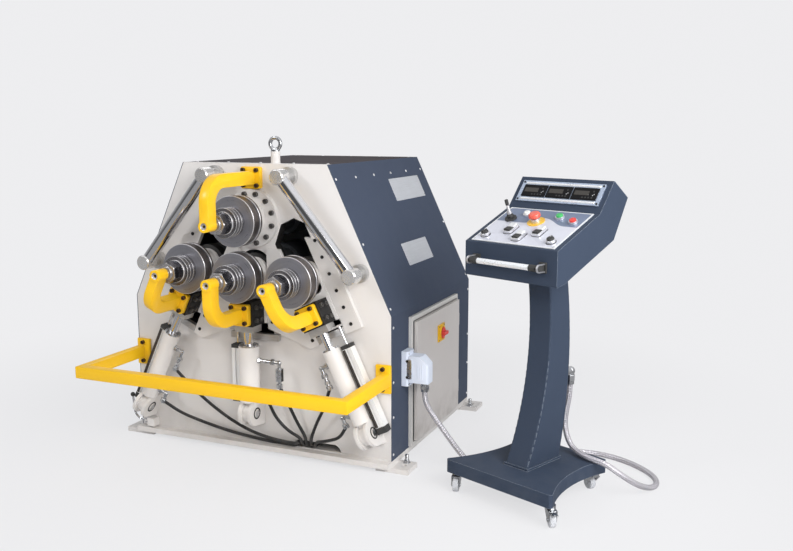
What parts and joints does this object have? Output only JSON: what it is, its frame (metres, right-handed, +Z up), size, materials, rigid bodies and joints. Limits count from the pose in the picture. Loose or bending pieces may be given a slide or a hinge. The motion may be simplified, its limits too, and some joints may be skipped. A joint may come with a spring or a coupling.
{
  "type": "section bending machine",
  "caption": "Hydraulic section bending machine with short rolls on inclined slides, support arms, guard rail, electrical cabinet and a wheeled control console on a cable.",
  "frame": {"origin": "middle of the four anchor holes, on the floor", "axes": "+Z up, -Y towards the operator in front of the rolls, +X to the operator's right"},
  "size_m": [2.0822, 1.233, 1.2],
  "materials": {
    "slate_paint": "semi-gloss slate blue-grey enamel",
    "cream_paint": "semi-gloss warm cream enamel",
    "yellow_paint": "semi-gloss golden yellow enamel",
    "roll_steel": "turned hardened steel with concentric marks",
    "bright_steel": "polished hard chrome",
    "machined_steel": "milled or plated steel",
    "blacked_steel": "black oxide",
    "aluminium": "satin anodised",
    "braided_cable": "silver braid over a flexible sheath",
    "grey_paint": "plain grey enamel",
    "zinc_steel": "zinc plated",
    "wheel_rubber": "matt black rubber",
    "red_plastic": "glossy red",
    "green_plastic": "glossy green",
    "black_plastic": "matt black"
  },
  "bodies": {
    "machine": {"base_frame": "cream_paint", "front_plate": "cream_paint", "rear_plate": "cream_paint", "top_cover": "slate_paint", "side_cover_left": "slate_paint", "side_cover_right": "slate_paint", "lifting_eyebolt": "machined_steel", "top_roll_housing": "cream_paint", "gib_plates": "machined_steel", "cap_screws": "blacked_steel", "guide_bars": "bright_steel", "guard_rail": "yellow_paint", "hydraulic_cylinders": "cream_paint", "hydraulic_lines": "machined_steel", "position_sensors": "aluminium", "electrical_cabinet": "cream_paint", "cable_connector": "aluminium", "support_arm_top": "yellow_paint", "power_unit": "grey_paint", "control_cable": "braided_cable", "lube_pump": "cream_paint", "console_base": "slate_paint", "console_column": "slate_paint", "console_head": "slate_paint", "control_panel": "aluminium", "display_unit": "aluminium", "console_handle": "aluminium"},
    "roll_top": {"roll_top": "roll_steel"},
    "carriage_left": {"carriage_left": "blacked_steel", "support_arm_left": "yellow_paint", "cylinder_rod_left": "bright_steel"},
    "roll_left": {"roll_left": "roll_steel"},
    "carriage_centre": {"carriage_centre": "blacked_steel", "support_arm_centre": "yellow_paint", "cylinder_rod_centre": "bright_steel"},
    "roll_centre": {"roll_centre": "roll_steel"},
    "carriage_right": {"carriage_right": "blacked_steel", "support_arm_right": "yellow_paint", "cylinder_rod_right": "bright_steel"},
    "roll_right": {"roll_right": "roll_steel"},
    "cabinet_door": {"cabinet_door": "cream_paint"},
    "main_switch": {"main_switch": "red_plastic"},
    "lube_lever": {"lube_lever": "machined_steel"},
    "joystick": {"joystick": "black_plastic"},
    "emergency_stop": {"emergency_stop": "red_plastic"},
    "start_button": {"start_button": "green_plastic"},
    "stop_button": {"stop_button": "red_plastic"},
    "rocker_left": {"rocker_left": "black_plastic"},
    "rocker_centre": {"rocker_centre": "black_plastic"},
    "rocker_right": {"rocker_right": "black_plastic"},
    "selector_left": {"selector_left": "black_plastic"},
    "selector_right": {"selector_right": "black_plastic"},
    "caster_fork_front_left": {"caster_fork_front_left": "zinc_steel"},
    "caster_wheel_front_left": {"caster_wheel_front_left": "wheel_rubber"},
    "caster_fork_front_right": {"caster_fork_front_right": "zinc_steel"},
    "caster_wheel_front_right": {"caster_wheel_front_right": "wheel_rubber"},
    "caster_fork_rear_right": {"caster_fork_rear_right": "zinc_steel"},
    "caster_wheel_rear_right": {"caster_wheel_rear_right": "wheel_rubber"},
    "caster_fork_rear_left": {"caster_fork_rear_left": "zinc_steel"},
    "caster_wheel_rear_left": {"caster_wheel_rear_left": "wheel_rubber"}
  },
  "joints": [
    {"name": "roll_top_spin", "type": "hinge", "parent": "machine", "child": "roll_top", "pos_m": [0, -0.428, 0.9], "axis": [0, 1, 0], "continuous": true},
    {"name": "carriage_left_slide", "type": "slide", "parent": "machine", "child": "carriage_left", "axis": [0.4305, 0, 0.9026], "range_m": [-0.05, 0.095]},
    {"name": "roll_left_spin", "type": "hinge", "parent": "carriage_left", "child": "roll_left", "pos_m": [-0.21124, -0.428, 0.71757], "axis": [0, 1, 0], "continuous": true},
    {"name": "carriage_centre_slide", "type": "slide", "parent": "machine", "child": "carriage_centre", "axis": [0, 0, 1], "range_m": [-0.036, 0.012]},
    {"name": "roll_centre_spin", "type": "hinge", "parent": "carriage_centre", "child": "roll_centre", "pos_m": [0, -0.428, 0.697], "axis": [0, 1, 0], "continuous": true},
    {"name": "carriage_right_slide", "type": "slide", "parent": "machine", "child": "carriage_right", "axis": [-0.4305, 0, 0.9026], "range_m": [-0.025, 0.12]},
    {"name": "roll_right_spin", "type": "hinge", "parent": "carriage_right", "child": "roll_right", "pos_m": [0.222, -0.428, 0.695], "axis": [0, 1, 0], "continuous": true},
    {"name": "cabinet_door_hinge", "type": "hinge", "parent": "machine", "child": "cabinet_door", "pos_m": [0.5725, 0.233, 0.29], "axis": [0, 0, 1], "range_deg": [0, 110]},
    {"name": "main_switch_turn", "type": "hinge", "parent": "cabinet_door", "child": "main_switch", "pos_m": [0.586, 0, 0.428], "axis": [1, 0, 0], "range_deg": [0, 90]},
    {"name": "lube_lever_swing", "type": "hinge", "parent": "machine", "child": "lube_lever", "pos_m": [-0.521, -0.443, 0.06], "axis": [0, -1, 0], "range_deg": [0, 28], "stiffness_Nm_per_rad": 2, "springref_deg": -5.73},
    {"name": "joystick_tilt", "type": "hinge", "parent": "machine", "child": "joystick", "pos_m": [0.95817, -0.36882, 0.9372], "axis": [0.3536, 0.8454, 0.4004], "range_deg": [-20, 20], "stiffness_Nm_per_rad": 0.4},
    {"name": "emergency_stop_push", "type": "slide", "parent": "machine", "child": "emergency_stop", "axis": [0.1545, 0.3694, -0.9163], "range_m": [0, 0.005], "stiffness_N_per_m": 1500},
    {"name": "start_button_push", "type": "slide", "parent": "machine", "child": "start_button", "axis": [0.1545, 0.3694, -0.9163], "range_m": [0, 0.003], "stiffness_N_per_m": 1200},
    {"name": "stop_button_push", "type": "slide", "parent": "machine", "child": "stop_button", "axis": [0.1545, 0.3694, -0.9163], "range_m": [0, 0.003], "stiffness_N_per_m": 1200},
    {"name": "rocker_left_tip", "type": "hinge", "parent": "machine", "child": "rocker_left", "pos_m": [0.98117, -0.44598, 0.90997], "axis": [0.9225, -0.3859, 0], "range_deg": [-8, 8], "stiffness_Nm_per_rad": 0.3},
    {"name": "rocker_centre_tip", "type": "hinge", "parent": "machine", "child": "rocker_centre", "pos_m": [1.02309, -0.50126, 0.89476], "axis": [0.9225, -0.3859, 0], "range_deg": [-8, 8], "stiffness_Nm_per_rad": 0.3},
    {"name": "rocker_right_tip", "type": "hinge", "parent": "machine", "child": "rocker_right", "pos_m": [1.08634, -0.48998, 0.90997], "axis": [0.9225, -0.3859, 0], "range_deg": [-8, 8], "stiffness_Nm_per_rad": 0.3},
    {"name": "selector_left_turn", "type": "hinge", "parent": "machine", "child": "selector_left", "pos_m": [0.89824, -0.46027, 0.8935], "axis": [-0.1545, -0.3694, 0.9163], "range_deg": [-45, 45]},
    {"name": "selector_right_turn", "type": "hinge", "parent": "machine", "child": "selector_right", "pos_m": [1.13994, -0.56138, 0.8935], "axis": [-0.1545, -0.3694, 0.9163], "range_deg": [-45, 45]},
    {"name": "caster_front_left_swivel", "type": "hinge", "parent": "machine", "child": "caster_fork_front_left", "pos_m": [0.82005, -0.48133, 0.06], "axis": [0, 0, 1], "continuous": true},
    {"name": "caster_front_left_roll", "type": "hinge", "parent": "caster_fork_front_left", "child": "caster_wheel_front_left", "pos_m": [0.82361, -0.50304, 0.025], "axis": [0.9869, 0.1616, 0], "continuous": true},
    {"name": "caster_front_right_swivel", "type": "hinge", "parent": "machine", "child": "caster_fork_front_right", "pos_m": [1.17984, -0.63183, 0.06], "axis": [0, 0, 1], "continuous": true},
    {"name": "caster_front_right_roll", "type": "hinge", "parent": "caster_fork_front_right", "child": "caster_wheel_front_right", "pos_m": [1.19027, -0.6512, 0.025], "axis": [0.8805, 0.4741, 0], "continuous": true},
    {"name": "caster_rear_right_swivel", "type": "hinge", "parent": "machine", "child": "caster_fork_rear_right", "pos_m": [1.25613, -0.31471, 0.06], "axis": [0, 0, 1], "continuous": true},
    {"name": "caster_rear_right_roll", "type": "hinge", "parent": "caster_fork_rear_right", "child": "caster_wheel_rear_right", "pos_m": [1.24077, -0.29896, 0.025], "axis": [-0.7157, -0.6984, 0], "continuous": true},
    {"name": "caster_rear_left_swivel", "type": "hinge", "parent": "machine", "child": "caster_fork_rear_left", "pos_m": [0.99229, -0.20434, 0.06], "axis": [0, 0, 1], "continuous": true},
    {"name": "caster_rear_left_roll", "type": "hinge", "parent": "caster_fork_rear_left", "child": "caster_wheel_rear_left", "pos_m": [0.99712, -0.18288, 0.025], "axis": [-0.9755, 0.2198, 0], "continuous": true}
  ],
  "couplings": [
    {"joint": "roll_left_spin", "follows": "roll_top_spin", "ratio": -1},
    {"joint": "roll_centre_spin", "follows": "roll_top_spin", "ratio": -1},
    {"joint": "roll_right_spin", "follows": "roll_top_spin", "ratio": -1}
  ]
}
